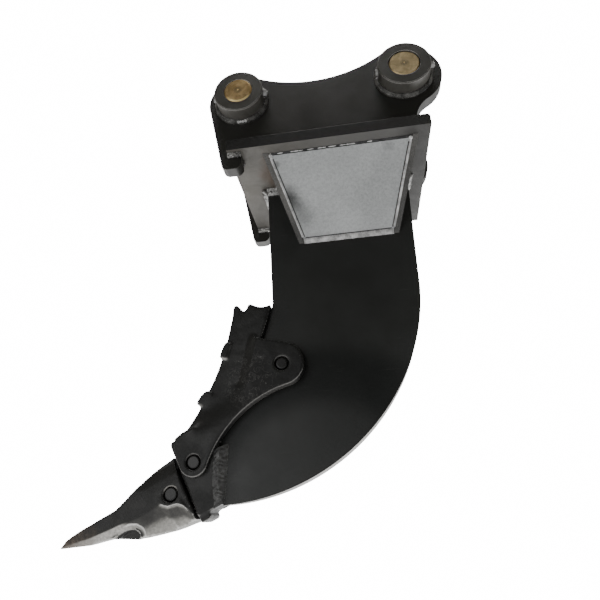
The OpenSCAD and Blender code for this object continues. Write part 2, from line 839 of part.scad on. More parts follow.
module shank_welds() {
    leg = shank_weld_leg;
    rear_shift = heel_taper * leg / heel_drop;
    color(weld_metal) {
        for (side = [-1, 1]) on_side(side)
            along_x(shank_front, shank_rear - rear_shift)
                fillet_section([-shank_t / 2, base_bottom], -leg, -leg);
        across(shank_t) fillet_section([shank_front, base_bottom], -leg, -leg);
        across(shank_t) polygon([
            [shank_rear, base_bottom], [shank_rear + leg, base_bottom],
            [shank_rear - rear_shift, base_bottom - leg]
        ]);
    }
}

// Beads along a cover's two sloping sides, its foot on the shank and its head on the base plate
module cover_beads() {
    along = [gusset_drop, gusset_reach] / slope_l;
    foot = [-shank_t / 2, base_bottom - gusset_drop + cover_recess / along[1]];
    head = [-shank_t / 2 - gusset_reach + cover_recess / along[0], base_bottom];
    down_slope = [along[1], -along[0]];
    inset = 2 * seam_w;
    for (end = [-1, 1]) {
        outer = end < 0 ? gusset_start : gusset_end;
        step = -end * gusset_splay;
        difference() {
            slope_frame() translate([0, 0, -cover_recess]) linear_extrude(cover_recess) polygon([
                [outer + step - end * seam_w, inset], [outer - end * seam_w, slope_l - inset],
                [outer + end * seam_w, slope_l - inset], [outer + step + end * seam_w, inset]
            ]);
            gusset_slab(end, gusset_wide / 3);
        }
    }
    along_x(gusset_start + gusset_splay, gusset_end - gusset_splay)
        polygon([foot, foot - seam_w * down_slope, foot - [0, seam_w]]);
    along_x(gusset_start + seam_w, gusset_end - seam_w)
        polygon([head, head + head_seam_w * down_slope, head - [head_seam_w, 0]]);
}

module gusset_welds() {
    color(weld_metal) for (side = [-1, 1]) on_side(side) cover_beads();
}

module adapter_weld_outline() {
    last = len(rear_edge) - 1;
    difference() {
        polygon(concat(
            [for (point = rear_edge) at_uv(point[0], point[1])],
            [for (i = [last:-1:0]) at_uv(rear_edge[i][0] - weld_width[i], rear_edge[i][1])]
        ));
        adapter_outline();
    }
}

module adapter_welds() {
    color(weld_metal) for (side = [-1, 1])
        beside(side, shank_t / 2, shank_t / 2 + adapter_weld_h) intersection() {
            adapter_weld_outline();
            shank_outline();
        }
}

base_plate();
ear(-1);  // ear_left
ear(1);  // ear_right
collar(-1, front_axis, front_pin_d, front_collar_d);  // front_collar_left
collar(1, front_axis, front_pin_d, front_collar_d);  // front_collar_right
collar(-1, rear_axis, rear_pin_d, rear_collar_d);  // rear_collar_left
collar(1, rear_axis, rear_pin_d, rear_collar_d);  // rear_collar_right
hitch_pin(front_axis, front_pin_d, front_pin_proud);  // front_pin
hitch_pin(rear_axis, rear_pin_d, -rear_pin_sunk);  // rear_pin
retaining_bolt(front_axis, front_collar_d);  // front_bolt
retaining_bolt(rear_axis, rear_collar_d);  // rear_bolt
lock_nut(front_axis, front_collar_d);  // front_lock_nut
lock_nut(rear_axis, rear_collar_d);  // rear_lock_nut
shank();
gusset(-1, -1);  // gusset_front_left
gusset(1, -1);  // gusset_rear_left
gusset(-1, 1);  // gusset_front_right
gusset(1, 1);  // gusset_rear_right
gusset_cover(-1);  // gusset_cover_left
gusset_cover(1);  // gusset_cover_right
nose_adapter();
tooth();
lock_pin(tooth_axis, tooth_w / 2 - lock_pin_sunk, tooth_ring_side);  // tooth_pin
pin_ring(tooth_axis, tooth_ring_side);  // tooth_pin_ring
shin_guard();
lock_pin(upper_axis, guard_w / 2 - lock_pin_sunk, shank_t / 2);  // upper_guard_pin
lock_pin(lower_axis, guard_w / 2 - lock_pin_sunk, adapter_w / 2);  // lower_guard_pin
pin_ring(upper_axis, shank_t / 2);  // upper_pin_ring
pin_ring(lower_axis, adapter_w / 2);  // lower_pin_ring
collar_welds();
ear_welds();
shank_welds();
gusset_welds();
adapter_welds();
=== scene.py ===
"""Looks of an excavator ripper around its CAD frame: paint, castings, weld beads, camera and light."""

import math
import random

import bmesh
import bpy
import numpy as np
from mathutils import Matrix, Vector, noise


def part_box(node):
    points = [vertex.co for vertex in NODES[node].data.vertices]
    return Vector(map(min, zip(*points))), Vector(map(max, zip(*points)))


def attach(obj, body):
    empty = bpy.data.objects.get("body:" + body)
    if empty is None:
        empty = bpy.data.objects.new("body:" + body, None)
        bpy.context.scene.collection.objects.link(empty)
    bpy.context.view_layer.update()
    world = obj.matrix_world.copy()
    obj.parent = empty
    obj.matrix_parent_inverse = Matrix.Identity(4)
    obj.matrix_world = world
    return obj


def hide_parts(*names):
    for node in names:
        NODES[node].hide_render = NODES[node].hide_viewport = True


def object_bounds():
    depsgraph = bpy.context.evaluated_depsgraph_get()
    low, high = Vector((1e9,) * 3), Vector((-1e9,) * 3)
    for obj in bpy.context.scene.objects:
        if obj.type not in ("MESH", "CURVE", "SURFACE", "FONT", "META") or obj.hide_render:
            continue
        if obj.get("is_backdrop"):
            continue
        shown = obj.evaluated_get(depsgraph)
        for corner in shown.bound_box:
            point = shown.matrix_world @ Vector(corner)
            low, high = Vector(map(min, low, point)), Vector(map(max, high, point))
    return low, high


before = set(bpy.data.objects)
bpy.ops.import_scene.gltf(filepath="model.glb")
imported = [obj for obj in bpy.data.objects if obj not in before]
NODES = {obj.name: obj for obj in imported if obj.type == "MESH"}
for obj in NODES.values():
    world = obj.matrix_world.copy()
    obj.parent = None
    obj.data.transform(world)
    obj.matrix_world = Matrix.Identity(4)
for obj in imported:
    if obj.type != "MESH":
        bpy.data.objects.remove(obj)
cad_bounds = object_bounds()
random.seed(7)


# Shader helpers


def tree_of(name):
    material = bpy.data.materials.new(name)
    material.use_nodes = True
    material.node_tree.nodes.clear()
    return material, material.node_tree


def rgba(value):
    return (*value, 1.0) if isinstance(value, tuple) and len(value) == 3 else value


def node(t, kind, inputs=None, **props):
    n = t.nodes.new("ShaderNode" + kind)
    for key, value in props.items():
        setattr(n, key, value)
    for key, value in (inputs or {}).items():
        if isinstance(value, bpy.types.NodeSocket):
            t.links.new(value, n.inputs[key])
        else:
            n.inputs[key].default_value = value
    return n


def coords(t):
    """Coordinates of the part's frame in metres."""
    return node(t, "TexCoord").outputs["Object"]


def place(t, turn=(0, 0, 0), scale=(1, 1, 1), shift=(0, 0, 0)):
    """Coordinates of the part's frame, turned and stretched."""
    inputs = {"Vector": coords(t), "Rotation": turn, "Scale": scale, "Location": shift}
    return node(t, "Mapping", inputs).outputs[0]


def side_view(t):
    """Coordinates with no width, for distances in the side view."""
    return place(t, scale=(1, 0, 1))


def axes(t, vector):
    """The x, y and z of a vector."""
    return node(t, "SeparateXYZ", {0: vector}).outputs


def grain(t, scale, detail=3.0, rough=0.55, warp=0.0, at=None):
    at = at or place(t)
    inputs = {"Vector": at, "Scale": scale, "Detail": detail, "Roughness": rough, "Distortion": warp}
    return node(t, "TexNoise", inputs).outputs["Fac"]


def span(t, value, low, high, out_low=0.0, out_high=1.0):
    inputs = {"Value": value, "From Min": low, "From Max": high, "To Min": out_low, "To Max": out_high}
    return node(t, "MapRange", inputs, interpolation_type="SMOOTHSTEP").outputs[0]


def calc(t, op, a, b=0.0):
    return node(t, "Math", {0: a, 1: b}, operation=op).outputs[0]


def plus(t, a, b):
    return calc(t, "ADD", a, b)


def minus(t, a, b):
    return calc(t, "SUBTRACT", a, b)


def times(t, a, b):
    return calc(t, "MULTIPLY", a, b)


def dot(t, a, b):
    return node(t, "VectorMath", {0: a, 1: b}, operation="DOT_PRODUCT").outputs["Value"]


def distance(t, a, b):
    return node(t, "VectorMath", {0: a, 1: b}, operation="DISTANCE").outputs["Value"]


def mix(t, factor, a, b):
    inputs = {0: factor, 6: rgba(a), 7: rgba(b)}
    return node(t, "Mix", inputs, data_type="RGBA").outputs[2]


def surface(
    material, t, color, rough, metal=0.0, height=None, bump=0.2, depth=0.001, round_edge=0.0, gloss=0.5
):
    """Principled surface with a bump on edges that are rounded for light only."""
    inputs = {"Base Color": rgba(color), "Roughness": rough, "Metallic": metal}
    shade = node(t, "BsdfPrincipled", {**inputs, "Specular IOR Level": gloss})
    normal = None
    if round_edge:
        normal = node(t, "Bevel", {"Radius": round_edge}, samples=6).outputs[0]
    if height is not None:
        made = {"Height": height, "Strength": bump, "Distance": depth}
        if normal is not None:
            made["Normal"] = normal
        normal = node(t, "Bump", made).outputs[0]
    if normal is not None:
        t.links.new(normal, shade.inputs["Normal"])
    out = node(t, "OutputMaterial")
    t.links.new(shade.outputs[0], out.inputs[0])
    return material


def facing_down(t, start, full, most=1.0):
    """Rises from 0 to most as the surface turns from start to full towards the floor."""
    z = axes(t, node(t, "NewGeometry").outputs["Normal"])[2]
    return span(t, times(t, z, -1.0), start, full, 0.0, most)


def scratches(t, turn, seed, density):
    """Short thin strokes along one direction of the side view."""
    at = place(t, (0, turn, 0), (14, 14, 900), (seed, 0, seed))
    stroke = span(t, grain(t, 1.0, 1.0, 0.4, 0.0, at), density, density + 0.05)
    patch = span(t, grain(t, 6.0, 2.0, 0.5, 0.0, place(t, shift=(seed, 1, 2))), 0.52, 0.64)
    return times(t, stroke, patch)


# Materials


def black_paint(name, dark, light, rough=0.42, wear=1.0, light_below=0.0, edge=0.0, shade=None):
    """Satin paint with a few scratches, painted light on faces that turn down and a painted highlight on
    lower edges.
    """
    m, t = tree_of(name)
    haze = span(t, grain(t, 3.5, 3.0, 0.5, 0.4), 0.32, 0.70)
    color = mix(t, haze, dark, light)
    gloss = 0.5
    if shade:
        color, gloss = shade(t, color, gloss)
    marks = calc(t, "MAXIMUM", scratches(t, 0.6, 3.0, 0.74), scratches(t, -0.9, 8.0, 0.76))
    speck = span(t, grain(t, 260.0, 1.0), 0.76, 0.80)
    speck = times(t, speck, span(t, grain(t, 14.0), 0.55, 0.65))
    marks = times(t, calc(t, "MAXIMUM", marks, speck), 0.4 * wear)
    color = mix(t, marks, color, (0.14, 0.14, 0.13))
    # Painted light: faces that turn down go grey in patches.
    if light_below:
        patchy = span(t, grain(t, 28.0, 4.0), 0.25, 0.6, 0.55, 1.0)
        painted_light = times(t, facing_down(t, 0.25, 0.6, light_below), patchy)
        color = mix(t, painted_light, color, (0.36, 0.34, 0.31))
    # Painted highlight on rounded edges, strongest where they turn down.
    if edge:
        bent = node(t, "Bevel", {"Radius": 0.0022}, samples=6).outputs[0]
        alike = dot(t, bent, node(t, "NewGeometry").outputs["Normal"])
        low = span(t, axes(t, bent)[2], -0.45, -0.05, edge, edge * 0.12)
        wear_and_sheen = times(t, span(t, alike, 0.86, 0.99, 1.0, 0.0), low)
        color = mix(t, wear_and_sheen, color, (0.85, 0.84, 0.80))
    rough = span(t, grain(t, 18.0, 4.0), 0.3, 0.7, rough - 0.04, rough + 0.06)
    peel = grain(t, 420.0, 2.0)
    return surface(m, t, color, rough, 0.0, peel, 0.10, 0.0004, 0.0016, gloss)


def shank_shade(t, color, gloss):
    """Painted shadow beside the guard's hollow lip, darker and duller, and painted light towards the back
    edge.
    """
    flat = side_view(t)
    away = distance(t, flat, LIP_CENTER)
    rise = span(t, away, LIP_RADIUS - 0.075, LIP_RADIUS)
    fall = span(t, away, LIP_RADIUS + 0.03, LIP_RADIUS + 0.11, 0.6, 0.0)
    beside = times(t, rise, fall)
    color = mix(t, beside, color, (0.0065, 0.0072, 0.0068))
    back = span(t, axes(t, flat)[0], 0.20, 0.36, 0.0, 0.6)
    color = mix(t, back, color, (0.031, 0.0325, 0.031))
    return color, span(t, beside, 0.0, 0.6, gloss, gloss * 0.5)


def silver_paint(name, dark, light, patches=(), metal=0.35, rough=0.46):
    """Grey paint with metal flake, mottled, with soft dark patches (point, radius, strength) if given."""
    m, t = tree_of(name)
    mottle = span(t, grain(t, 170.0, 6.0, 0.78, 0.3), 0.3, 0.72)
    cloud = span(t, grain(t, 7.0, 3.0, 0.5, 0.3), 0.3, 0.7)
    color = mix(t, plus(t, times(t, mottle, 0.55), times(t, cloud, 0.45)), dark, light)
    for spot, radius, strength in patches:
        ragged = times(t, grain(t, 60.0, 5.0, 0.7), radius * 0.7)
        away = plus(t, distance(t, coords(t), spot), ragged)
        stain = span(t, away, radius * 0.4, radius * 1.6, strength, 0.0)
        color = mix(t, stain, color, (0.035, 0.035, 0.035))
    fleck = span(t, grain(t, 900.0, 1.0), 0.62, 0.72)
    color = mix(t, times(t, fleck, 0.25), color, (0.7, 0.7, 0.7))
    rough = span(t, mottle, 0, 1, rough + 0.06, rough - 0.05)
    return surface(m, t, color, rough, metal, grain(t, 300.0, 3.0), 0.12, 0.0005, 0.0014)


def plate_paint(name):
    """Base plate: black, with painted light in grey on its underside, which has brown heat tints along the
    welds.
    """
    m, t = tree_of(name)
    up = axes(t, node(t, "NewGeometry").outputs["True Normal"])[2]
    mottle = span(t, grain(t, 26.0, 6.0, 0.66, 0.7), 0.3, 0.72)
    cloud = span(t, grain(t, 6.0, 3.0, 0.5, 0.6), 0.35, 0.68)
    grey = mix(t, mottle, (0.108, 0.102, 0.091), (0.145, 0.138, 0.124))
    grey = mix(t, times(t, cloud, 0.5), grey, (0.122, 0.110, 0.090))
    x, y, _ = axes(t, coords(t))
    outward = calc(t, "ABSOLUTE", y)
    beside = calc(t, "ABSOLUTE", minus(t, outward, 0.090))
    near_weld = plus(t, times(t, beside, 0.35), calc(t, "ABSOLUTE", minus(t, x, 0.040)))
    near_weld = plus(t, near_weld, times(t, grain(t, 30.0, 4.0), 0.03))
    grey = mix(t, span(t, near_weld, 0.022, 0.050, 0.6, 0.0), grey, (0.112, 0.076, 0.052))
    # The painted light on the underside is darker towards the back and on the far side, with a lighter
    # strip along the outer edges.
    grey = mix(t, span(t, x, 0.12, 0.34, 0.0, 0.9), grey, (0.025, 0.025, 0.0235))
    lit_strip = span(t, outward, 0.125, 0.160, 0.0, 0.6)
    lit_strip = times(t, lit_strip, span(t, x, 0.30, 0.36, 1.0, 0.0))
    lit_strip = times(t, lit_strip, span(t, x, 0.03, 0.20))
    grey = mix(t, lit_strip, grey, (0.175, 0.172, 0.165))
    grey = mix(t, span(t, y, -0.07, 0.10, 0.0, 0.6), grey, (0.046, 0.045, 0.043))
    black = mix(t, mottle, (0.0090, 0.0094, 0.0088), (0.0140, 0.0143, 0.0135))
    # Painted light: the black is lighter towards the back.
    black = mix(t, span(t, x, 0.22, 0.40, 0.0, 0.8), black, (0.032, 0.032, 0.030))
    color = mix(t, span(t, up, -0.6, -0.3), grey, black)
    rough = span(t, mottle, 0, 1, 0.58, 0.48)
    return surface(m, t, color, rough, 0.0, grain(t, 240.0, 3.0), 0.12, 0.0004, 0.0018, 0.3)


def cast_height(t):
    """Bumps of a sand casting."""
    return plus(t, grain(t, 120.0, 4.0, 0.6), times(t, grain(t, 420.0, 3.0, 0.6), 0.45))


def cast_paint(name, dark, light, rough=0.46, knobs=()):
    """Casting paint with fine veins, and painted light in grey on lower edges, on faces that turn down and
    under knobs (x, z).
    """
    m, t = tree_of(name)
    patch = span(t, grain(t, 16.0, 5.0, 0.62, 0.5), 0.33, 0.7)
    color = mix(t, patch, dark, light)
    speck = span(t, grain(t, 330.0, 2.0), 0.70, 0.76)
    speck = times(t, speck, span(t, grain(t, 30.0), 0.5, 0.65, 0.0, 0.5))
    color = mix(t, speck, color, (0.15, 0.15, 0.145))
    vein = calc(t, "ABSOLUTE", minus(t, grain(t, 62.0, 3.0, 0.6, 1.2), 0.5))
    vein = times(t, span(t, vein, 0.0, 0.016, 0.62, 0.0), span(t, grain(t, 14.0, 2.0, 0.5), 0.42, 0.54))
    flat = side_view(t)
    vein = times(t, vein, span(t, distance(t, flat, VEINED), 0.038, 0.076, 1.0, 0.0))
    color = mix(t, vein, color, (0.125, 0.125, 0.120))
    # Painted highlight on edges that turn down, and painted light on faces that turn down and under the
    # knobs.
    edge = span(t, node(t, "NewGeometry").outputs["Pointiness"], 0.515, 0.56)
    painted_light = times(t, edge, facing_down(t, 0.12, 0.45, 0.7))
    painted_light = calc(t, "MAXIMUM", painted_light, facing_down(t, 0.55, 0.95, 0.16))
    for x, z in knobs:
        near = span(t, distance(t, flat, (x, 0, z)), 0.020, 0.028, 1.0, 0.0)
        painted_light = calc(t, "MAXIMUM", painted_light, times(t, near, facing_down(t, 0.05, 0.5)))
    color = mix(t, painted_light, color, (0.46, 0.45, 0.43))
    rough = span(t, patch, 0, 1, rough + 0.08, rough - 0.06)
    return surface(m, t, color, rough, 0.0, cast_height(t), 0.4, 0.0008, 0.0, 0.38)


def tooth_paint(name, tip, toward):
    """Black casting paint, grey below and brighter towards the blade as painted light, with a painted
    highlight under the boss and painted shade in the hollow; wearing to brown steel at the tip.
    """
    m, t = tree_of(name)
    patch = span(t, grain(t, 20.0, 5.0, 0.62, 0.5), 0.33, 0.7)
    color = mix(t, patch, (0.0065, 0.0065, 0.0063), (0.0115, 0.0113, 0.0108))
    dust_and_sheen = span(t, grain(t, 170.0, 6.0, 0.72, 0.4), 0.28, 0.72, 0.5, 1.0)
    local = node(t, "VectorMath", {0: coords(t), 1: tip}, operation="SUBTRACT").outputs[0]
    along = dot(t, local, toward)
    upward = dot(t, local, (-toward[2], 0, toward[0]))
    # Painted light: faces that turn down are grey in mottled patches, brighter towards the blade.
    grey = mix(t, span(t, along, 0.115, 0.150), (0.56, 0.545, 0.51), (0.38, 0.37, 0.34))
    color = mix(t, times(t, dust_and_sheen, facing_down(t, 0.05, 0.62)), color, grey)
    # Painted highlight on edges below the boss that turn down.
    edge = span(t, node(t, "NewGeometry").outputs["Pointiness"], 0.508, 0.535)
    edge = times(t, edge, span(t, upward, -0.022, -0.012, 1.0, 0.0))
    color = mix(t, times(t, edge, facing_down(t, 0.04, 0.30, 0.75)), color, (0.86, 0.85, 0.82))
    # Painted shade inside the hollow under the blade's root.
    behind, above, half_length, half_height = HOLLOW
    back = calc(t, "POWER", calc(t, "DIVIDE", minus(t, along, behind), half_length), 2.0)
    high = calc(t, "POWER", calc(t, "DIVIDE", minus(t, upward, above), half_height), 2.0)
    color = mix(t, span(t, plus(t, back, high), 0.90, 1.06, 1.0, 0.0), color, (0.014, 0.0135, 0.013))
    ragged = plus(t, along, times(t, minus(t, grain(t, 55.0, 4.0), 0.5), 0.06))
    wear_and_sheen = span(t, ragged, 0.020, 0.090, 0.9, 0.0)
    flaky = span(t, grain(t, 130.0, 4.0), 0.35, 0.65)
    rust = mix(t, flaky, (0.046, 0.034, 0.025), (0.122, 0.095, 0.072))
    color = mix(t, wear_and_sheen, color, rust)
    rough = span(t, patch, 0, 1, 0.48, 0.36)
    return surface(m, t, color, rough, 0.0, cast_height(t), 0.45, 0.0009, 0.0, 0.42)


def turned_face(name, axis, dark, light, rough):
    """Turned steel with rings around an axis along Y, darker round the centre mark, with a painted
    highlight on faces that turn down.
    """
    m, t = tree_of(name)
    radius = distance(t, side_view(t), (axis[0], 0, axis[1]))
    rings = calc(t, "SINE", times(t, radius, 5200.0))
    patch = span(t, grain(t, 60.0, 5.0, 0.62, 0.8), 0.3, 0.72)
    color = mix(t, patch, dark, light)
    core = plus(t, radius, times(t, grain(t, 160.0, 3.0), 0.008))
    color = mix(t, span(t, core, 0.006, 0.0165, 0.62, 0.0), color, tuple(c * 0.32 for c in dark))
    # Painted highlight on faces that turn down.
    color = mix(t, facing_down(t, 0.25, 0.5, 0.8), color, tuple(min(1.0, c * 1.8) for c in light))
    height = plus(t, rings, times(t, grain(t, 500.0, 2.0), 0.8))
    return surface(m, t, color, rough, 0.85, height, 0.25, 0.0001, 0.0006)


def plain_metal(name, color, rough, metal):
    """Metal in two close tones."""
    m, t = tree_of(name)
    tone = mix(t, span(t, grain(t, 90.0, 4.0), 0.3, 0.7), tuple(c * 0.7 for c in color), color)
    return surface(m, t, tone, rough, metal, grain(t, 600.0, 2.0), 0.2, 0.0002, 0.0006)


def weld_skin(name, dark, light, rough, metal):
    """Weld metal in patches of two tones, with small glints."""
    m, t = tree_of(name)
    patch = span(t, grain(t, 70.0, 4.0, 0.6), 0.35, 0.68)
    glint = span(t, grain(t, 420.0, 2.0), 0.62, 0.7, 0.0, 0.6)
    color = mix(t, glint, mix(t, patch, dark, light), tuple(min(1.0, c * 1.7) for c in light))
    rough = span(t, patch, 0, 1, rough + 0.1, rough - 0.08)
    return surface(m, t, color, rough, metal, grain(t, 520.0, 3.0), 0.4, 0.0004)


# The tooth's pitch, its tip, the way back along it, and the origin of its own frame (x, z) at the nose
PITCH = math.radians(24)
TIP = (-0.402, 0.0, -0.872)
BACK_ALONG_TOOTH = (math.cos(PITCH), 0.0, math.sin(PITCH))
NOSE = np.array([-0.156, -0.776])
FRONT_PIN, REAR_PIN = (0.0, 0.0), (0.35, 0.011)
# Hollow under the blade's root, where shade is painted: distance behind the tip, height from the tip, half
# length, half height
HOLLOW = (0.121, -0.046, 0.031, 0.0185)
# Middle of the veined paint on the guard in the side view
VEINED = (-0.022, 0.0, -0.580)
# Centre and radius of the guard's hollow lip in the side view
LIP_CENTER, LIP_RADIUS = (0.1056, 0.0, -0.8228), 0.230
# Lugs on the guard's front edge in the side view
LUGS = [(-0.079, -0.519), (-0.121, -0.624)]
# Stains: middle, radius and strength
COVER_MARKS = [
    ((0.080, -0.098, -0.199), 0.026, 0.68),
    ((0.092, -0.083, -0.216), 0.027, 0.68),
    ((0.085, -0.091, -0.207), 0.016, 0.60),
    ((0.108, -0.064, -0.236), 0.030, 0.40),
    ((0.066, -0.143, -0.151), 0.008, 0.50),
    ((0.300, -0.150, -0.144), 0.014, 0.25),
]
GUSSET_MARKS = [
    ((0.100, -0.040, -0.255), 0.050, 0.60),
    ((0.335, -0.090, -0.200), 0.090, 0.45),
    ((0.300, -0.040, -0.255), 0.050, 0.60),
]

BLACK = black_paint(
    "black_paint", (0.0155, 0.0168, 0.0160), (0.0225, 0.0238, 0.0226), wear=0.6, light_below=0.8, shade=shank_shade
)
EAR = black_paint("ear_paint", (0.0098, 0.0096, 0.0082), (0.0175, 0.0170, 0.0145), 0.40, 0.4, 0.05)
COLLAR = black_paint("collar_paint", (0.034, 0.033, 0.0285), (0.052, 0.0505, 0.0440), 0.36, 0.7, 0.2, 0.8)
PLATE = plate_paint("plate_paint")
COVER = silver_paint("cover_paint", (0.38, 0.393, 0.393), (0.665, 0.682, 0.682), COVER_MARKS)
GUSSET = silver_paint("gusset_paint", (0.077, 0.075, 0.071), (0.178, 0.174, 0.164), GUSSET_MARKS)
CAST = cast_paint("cast_paint", (0.0050, 0.0052, 0.0050), (0.0105, 0.0107, 0.0102), 0.42, LUGS)
TOOTH = tooth_paint("tooth_paint", TIP, BACK_ALONG_TOOTH)
GOLD = turned_face("gold_steel", FRONT_PIN, (0.38, 0.255, 0.105), (0.60, 0.435, 0.21), 0.34)
TAN = turned_face("tan_steel", REAR_PIN, (0.30, 0.23, 0.118), (0.47, 0.37, 0.205), 0.46)
ZINC = plain_metal("zinc", (0.46, 0.46, 0.45), 0.36, 0.8)
LOCK = plain_metal("lock_steel", (0.0105, 0.0105, 0.0102), 0.30, 0.1)
WELD_DARK = weld_skin("weld_dark", (0.036, 0.0355, 0.033), (0.165, 0.163, 0.154), 0.26, 0.25)
WELD_PAINTED = weld_skin("weld_painted", (0.032, 0.0325, 0.032), (0.066, 0.0665, 0.065), 0.34, 0.05)
WELD_EDGE = weld_skin("weld_edge", (0.055, 0.055, 0.053), (0.130, 0.130, 0.126), 0.38, 0.1)
WELD_BRIGHT = weld_skin("weld_bright", (0.11, 0.109, 0.106), (0.50, 0.495, 0.48), 0.30, 0.45)
# Near white: bright bead metal on the seams, and painted highlights where it makes the sparkles at the
# collars and the dashes at the cover's head.
WELD_SEAM = weld_skin("weld_seam", (0.42, 0.42, 0.415), (0.92, 0.92, 0.91), 0.30, 0.1)
# Near black: painted shadow in the dark lines beside the seam beads and on the head's bead.
WELD_SHADOW_LINE = weld_skin("weld_shadow_line", (0.006, 0.006, 0.006), (0.030, 0.030, 0.030), 0.4, 0.1)

PAINT = {
    "base_plate": PLATE, "ear_left": EAR, "ear_right": EAR, "shank": BLACK,
    "front_pin": GOLD, "rear_pin": TAN,
    "gusset_cover_left": COVER, "gusset_cover_right": COVER,
}
for name, obj in NODES.items():
    skin = PAINT.get(name)
    if skin is None:
        if "collar" in name:
            skin = COLLAR
        elif "bolt" in name or "nut" in name:
            skin = ZINC
        elif name.startswith("gusset_") and not name.endswith("welds"):
            skin = GUSSET
        elif "ring" in name or name.endswith("_pin"):
            skin = LOCK
        else:
            skin = CAST
    obj.data.materials.clear()
    obj.data.materials.append(skin)


# Pieces that stand for CAD nodes


def put(obj, nodes):
    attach(obj, "root")
    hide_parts(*nodes)
    return obj


def new_object(name, mesh, material):
    obj = bpy.data.objects.new(name, mesh)
    bpy.context.scene.collection.objects.link(obj)
    mesh.materials.clear()
    mesh.materials.append(material)
    return obj


def evaluated(obj):
    dg = bpy.context.evaluated_depsgraph_get()
    return bpy.data.meshes.new_from_object(obj.evaluated_get(dg))


def remeshed(name, source, voxel, smooth, material):
    """Closed copy of a CAD node with evenly spaced points and softly rounded edges."""
    bm = bmesh.new()
    bm.from_mesh(NODES[source].data)
    bmesh.ops.remove_doubles(bm, verts=bm.verts, dist=1e-6)
    mesh = bpy.data.meshes.new(name)
    bm.to_mesh(mesh)
    bm.free()
    obj = new_object(name, mesh, material)
    remesh = obj.modifiers.new("even", "REMESH")
    remesh.mode = "VOXEL"
    remesh.voxel_size = voxel
    soft = obj.modifiers.new("soft", "SMOOTH")
    soft.factor = 0.5
    soft.iterations = smooth
    obj.data = evaluated(obj)
    obj.modifiers.clear()
    obj.data.materials.clear()
    obj.data.materials.append(material)
    obj.data.polygons.foreach_set("use_smooth", [True] * len(obj.data.polygons))
    return obj


def points_and_normals(mesh):
    points = np.empty(len(mesh.vertices) * 3, np.float32)
    mesh.vertices.foreach_get("co", points)
    normals = np.empty(len(mesh.vertices) * 3, np.float32)
    mesh.vertex_normals.foreach_get("vector", normals)
    return points.reshape(-1, 3).astype(float), normals.reshape(-1, 3).astype(float)


def set_points(mesh, points):
    mesh.vertices.foreach_set("co", points.astype(np.float32).ravel())
    mesh.update()


def lumps(points, scale, seed):
    return np.array([noise.noise(Vector(p) * scale + Vector((seed, seed, seed))) for p in points])


def roughen(obj, scale, height, seed):
    points, normals = points_and_normals(obj.data)
    set_points(obj.data, points + normals * (lumps(points, scale, seed) * height - height)[:, None])
    return obj


def tooth_frame(points):
    """Forward distance u and height v in the tooth's own frame."""
    dx, dz = points[:, 0] - NOSE[0], points[:, 2] - NOSE[1]
    return -dx * math.cos(PITCH) - dz * math.sin(PITCH), -dx * math.sin(PITCH) + dz * math.cos(PITCH)


def edge_ends(mesh):
    ends = np.empty(len(mesh.edges) * 2, np.int32)
    mesh.edges.foreach_get("vertices", ends)
    return ends.reshape(-1, 2).T


def widened(mesh, chosen, rounds):
    """The chosen points and their neighbours, taken several times."""
    a, b = edge_ends(mesh)
    for _ in range(rounds):
        hit = chosen[a] | chosen[b]
        chosen = chosen.copy()
        chosen[a[hit]] = True
        chosen[b[hit]] = True
    return chosen


def soften(mesh, weight, rounds):
    """Evens out the points where weight is above 0."""
    points, _ = points_and_normals(mesh)
    a, b = edge_ends(mesh)
    near = np.bincount(np.r_[a, b], minlength=len(points))[:, None]
    for _ in range(rounds):
        total = np.zeros_like(points)
        np.add.at(total, a, points[b])
        np.add.at(total, b, points[a])
        points += (total / near - points) * weight[:, None] * 0.6
    set_points(mesh, points)


def from_leg(points, p, q):
    """Distance in the side view from the leg p to q."""
    at, p, way = points[:, [0, 2]], np.array(p), np.array(q) - np.array(p)
    t = np.clip((at - p) @ way / (way @ way), 0, 1)
    return np.linalg.norm(at - p - t[:, None] * way, axis=1)


guard = remeshed("guard_casting", "shin_guard", 0.0022, 4, CAST)
co, nrm = points_and_normals(guard.data)
corner, waist, end = (-0.0174, -0.4941), (-0.0472, -0.6256), (-0.1625, -0.6754)
leg_low, leg_high = from_leg(co, waist, end), from_leg(co, corner, waist)
inner = tuple(np.array(waist) + 0.72 * (np.array(end) - np.array(waist)))
crease = np.minimum(from_leg(co, waist, inner), leg_high) < 0.011
rim = widened(guard.data, (np.abs(nrm[:, 1]) < 0.45) & ~crease, 3)
weight = np.maximum(1 - leg_low / 0.042, 0.6 - leg_high / 0.016)
soften(guard.data, np.clip(weight * 2, 0, 1) * (np.abs(co[:, 1]) > 0.03) * ~rim, 260)
for p, q in (((-0.055, -0.440), (0.004, -0.440)), ((-0.163, -0.672), (-0.118, -0.632))):
    soften(guard.data, np.clip(1.6 - from_leg(co, p, q) / 0.013, 0, 1), 12)
put(roughen(guard, 55.0, 0.0003, 3), ["shin_guard"])
adapter = remeshed("adapter_casting", "nose_adapter", 0.0022, 4, CAST)
put(roughen(adapter, 60.0, 0.0003, 5), ["nose_adapter"])

tooth = remeshed("tooth_casting", "tooth", 0.0020, 6, TOOTH)
co, nrm = points_and_normals(tooth.data)
u, v = tooth_frame(co)
